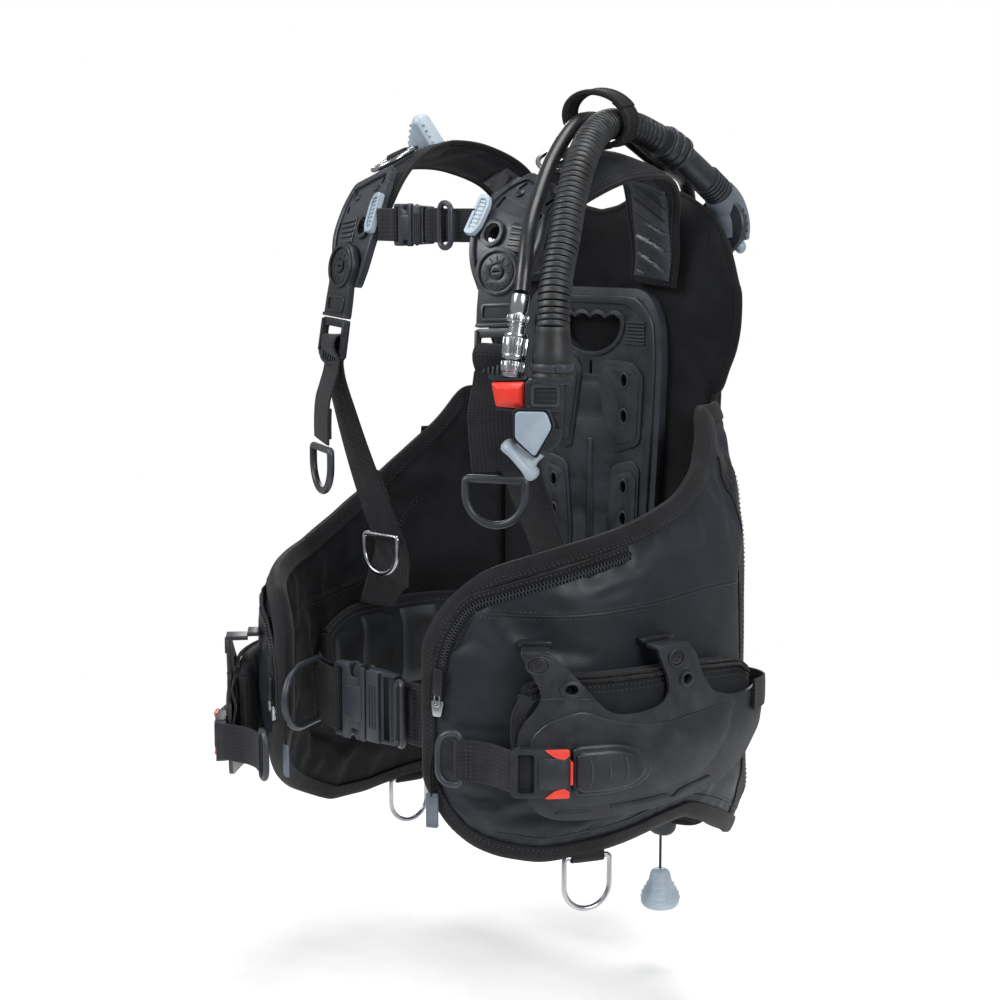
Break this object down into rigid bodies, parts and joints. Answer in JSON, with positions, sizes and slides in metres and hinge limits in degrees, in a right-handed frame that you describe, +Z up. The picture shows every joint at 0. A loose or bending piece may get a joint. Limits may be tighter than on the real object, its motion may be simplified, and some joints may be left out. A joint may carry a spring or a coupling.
{
  "type": "buoyancy compensator vest",
  "caption": "Diver's buoyancy vest with wrap-round air cell lobes, moulded back plate and harness, side weight pouches, hose inflator and dump valves.",
  "frame": {"origin": "middle of the tank seat, the flat rear face of the tank pad", "axes": "+X towards the wearer's left, +Y out of the wearer's back towards the tank, +Z up"},
  "size_m": [0.4472, 0.343, 0.6855],
  "materials": {
    "nylon": "matte woven nylon",
    "laminate": "satin coated fabric",
    "padding": "matte padded mesh",
    "webbing": "ribbed polyester webbing",
    "moulded": "satin moulded plastic",
    "rubber": "satin rubber",
    "grip": "satin light plastic",
    "signal": "gloss red",
    "chrome": "polished",
    "steel": "polished wire",
    "silicone": "soft matte"
  },
  "bodies": {
    "vest": {"air_cell_back": "nylon", "back_plate": "moulded", "tank_pad": "rubber", "tank_band": "webbing", "cam_buckle_frame": "moulded", "air_cell_left": "laminate", "air_cell_right": "laminate", "shoulder_strap_left": "padding", "shoulder_strap_right": "padding", "harness_plate_left": "moulded", "harness_plate_right": "moulded", "shoulder_webbing_left": "webbing", "shoulder_webbing_right": "webbing", "chest_slider_left": "grip", "chest_slider_right": "grip", "cummerbund_left": "padding", "cummerbund_right": "padding", "weight_pouch_left": "nylon", "weight_pouch_right": "nylon", "weight_panel_left": "moulded", "weight_panel_right": "moulded", "pouch_receiver_left": "moulded", "pouch_receiver_right": "moulded", "chest_webbing": "webbing", "chest_buckle_female": "moulded", "waist_webbing": "webbing", "waist_buckle_female": "moulded", "inflator_body": "moulded", "mouthpiece": "silicone", "hose_coupler": "chrome", "corrugated_hose": "rubber", "low_pressure_hose": "rubber", "hose_fitting": "chrome", "hose_collar": "rubber", "shoulder_elbow": "moulded"},
    "cam_lever": {"cam_buckle_lever": "moulded"},
    "swivel_left": {"swivel_buckle_left": "moulded", "ladder_buckle_left": "moulded", "strap_tail_left": "webbing"},
    "pull_loop_left": {"pull_loop_left": "moulded"},
    "shoulder_ring_left": {"shoulder_ring_left": "steel"},
    "webbing_ring_left": {"webbing_ring_left": "steel"},
    "bottom_ring_left": {"bottom_ring_left": "steel"},
    "pouch_release_left": {"pouch_release_left": "moulded"},
    "swivel_right": {"swivel_buckle_right": "moulded", "ladder_buckle_right": "moulded", "strap_tail_right": "webbing"},
    "pull_loop_right": {"pull_loop_right": "moulded"},
    "shoulder_ring_right": {"shoulder_ring_right": "steel"},
    "webbing_ring_right": {"webbing_ring_right": "steel"},
    "bottom_ring_right": {"bottom_ring_right": "steel"},
    "pouch_release_right": {"pouch_release_right": "moulded"},
    "chest_male": {"chest_buckle_male": "moulded"},
    "waist_male": {"waist_buckle_male": "moulded"},
    "inflate": {"inflate_button": "signal"},
    "purge": {"purge_button": "grip"},
    "sleeve": {"coupler_sleeve": "chrome"},
    "shoulder_dump": {"shoulder_dump_knob": "grip"},
    "lower_dump": {"lower_dump_knob": "grip", "dump_cord": "rubber"}
  },
  "joints": [
    {"name": "cam_lever_hinge", "type": "hinge", "parent": "vest", "child": "cam_lever", "pos_m": [-0.026, 0.006, -0.085], "axis": [0, 0, 1], "range_deg": [0, 110]},
    {"name": "swivel_left_turn", "type": "hinge", "parent": "vest", "child": "swivel_left", "pos_m": [0.0814, -0.22746, 0.20567], "axis": [0.2395, -0.9621, 0.1303], "range_deg": [-12, 12]},
    {"name": "pull_loop_left_swing", "type": "hinge", "parent": "swivel_left", "child": "pull_loop_left", "pos_m": [0.093, -0.247, 0.056], "axis": [0.9023, 0.4311, 0], "range_deg": [-60, 40]},
    {"name": "shoulder_ring_left_swing", "type": "hinge", "parent": "vest", "child": "shoulder_ring_left", "pos_m": [0.08131, -0.14913, 0.29129], "axis": [0.9458, -0.0644, -0.3184], "range_deg": [-12, 0]},
    {"name": "webbing_ring_left_swing", "type": "hinge", "parent": "vest", "child": "webbing_ring_left", "pos_m": [0.096, -0.191, -0.012], "axis": [1, 0, 0], "range_deg": [-80, 0]},
    {"name": "bottom_ring_left_swing", "type": "hinge", "parent": "vest", "child": "bottom_ring_left", "pos_m": [0.16354, -0.22442, -0.22071], "axis": [0.473, 0.8811, 0], "range_deg": [-60, 60]},
    {"name": "pouch_release_left_slide", "type": "slide", "parent": "vest", "child": "pouch_release_left", "axis": [0.5825, 0.8128, 0], "range_m": [0, 0.03]},
    {"name": "swivel_right_turn", "type": "hinge", "parent": "vest", "child": "swivel_right", "pos_m": [-0.08134, -0.22726, 0.2065], "axis": [-0.2394, -0.9607, 0.1403], "range_deg": [-12, 12]},
    {"name": "pull_loop_right_swing", "type": "hinge", "parent": "swivel_right", "child": "pull_loop_right", "pos_m": [-0.093, -0.247, 0.064], "axis": [0.9023, -0.4311, 0], "range_deg": [-60, 40]},
    {"name": "shoulder_ring_right_swing", "type": "hinge", "parent": "vest", "child": "shoulder_ring_right", "pos_m": [-0.09999, -0.15156, 0.29454], "axis": [0.9436, 0.0754, 0.3225], "range_deg": [-100, 0]},
    {"name": "webbing_ring_right_swing", "type": "hinge", "parent": "vest", "child": "webbing_ring_right", "pos_m": [-0.084, -0.191, -0.012], "axis": [1, 0, 0], "range_deg": [-80, 0]},
    {"name": "bottom_ring_right_swing", "type": "hinge", "parent": "vest", "child": "bottom_ring_right", "pos_m": [-0.17202, -0.07178, -0.2598], "axis": [-0.2987, -0.9543, 0], "range_deg": [-60, 60]},
    {"name": "pouch_release_right_slide", "type": "slide", "parent": "vest", "child": "pouch_release_right", "axis": [-0.5825, 0.8128, 0], "range_m": [0, 0.03]},
    {"name": "chest_buckle_slide", "type": "slide", "parent": "vest", "child": "chest_male", "axis": [1, 0, 0], "range_m": [0, 0.02]},
    {"name": "waist_buckle_slide", "type": "slide", "parent": "vest", "child": "waist_male", "axis": [1, 0, 0], "range_m": [0, 0.03]},
    {"name": "inflate_button_press", "type": "slide", "parent": "vest", "child": "inflate", "axis": [-0.5736, 0.8191, 0], "range_m": [0, 0.003], "stiffness_N_per_m": 900},
    {"name": "purge_button_press", "type": "slide", "parent": "vest", "child": "purge", "axis": [-0.5736, 0.8191, 0], "range_m": [0, 0.003], "stiffness_N_per_m": 900},
    {"name": "coupler_sleeve_slide", "type": "slide", "parent": "vest", "child": "sleeve", "axis": [-0.005, 0.1768, 0.9842], "range_m": [0, 0.004], "stiffness_N_per_m": 1200},
    {"name": "shoulder_dump_pull", "type": "slide", "parent": "vest", "child": "shoulder_dump", "axis": [0, -0.3011, 0.9536], "range_m": [0, 0.012], "stiffness_N_per_m": 400},
    {"name": "lower_dump_pull", "type": "slide", "parent": "vest", "child": "lower_dump", "axis": [0, 0, -1], "range_m": [0, 0.012], "stiffness_N_per_m": 600}
  ]
}
